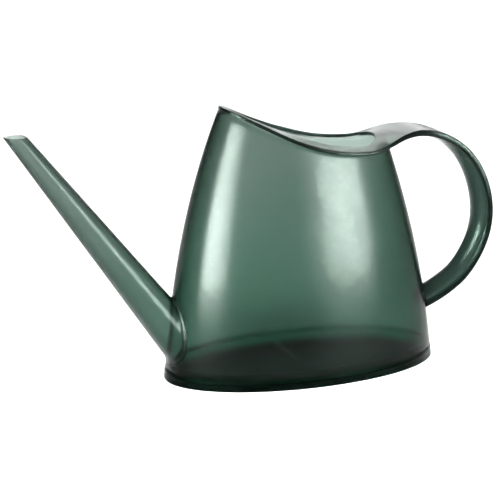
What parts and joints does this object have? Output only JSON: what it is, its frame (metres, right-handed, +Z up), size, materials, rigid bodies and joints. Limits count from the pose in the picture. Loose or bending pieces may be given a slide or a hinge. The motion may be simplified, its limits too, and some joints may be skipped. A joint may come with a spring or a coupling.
{
  "type": "watering can",
  "caption": "Indoor watering can in green translucent plastic, with an oval tapered body, a long straight spout and a strap handle that grows out of the rim.",
  "frame": {"origin": "centre of the base, on the flat underside the can stands on", "axes": "+Z up; +X towards the handle, so the spout points along -X; +Y across the can"},
  "size_m": [0.3495, 0.0982, 0.191],
  "materials": {
    "satin_green": "satin",
    "base_green": "satin",
    "clear_green": "gloss"
  },
  "bodies": {
    "root": {"body_shell": "satin_green", "base_tray": "base_green", "spout": "clear_green", "rim_handle": "clear_green"}
  },
  "joints": []
}
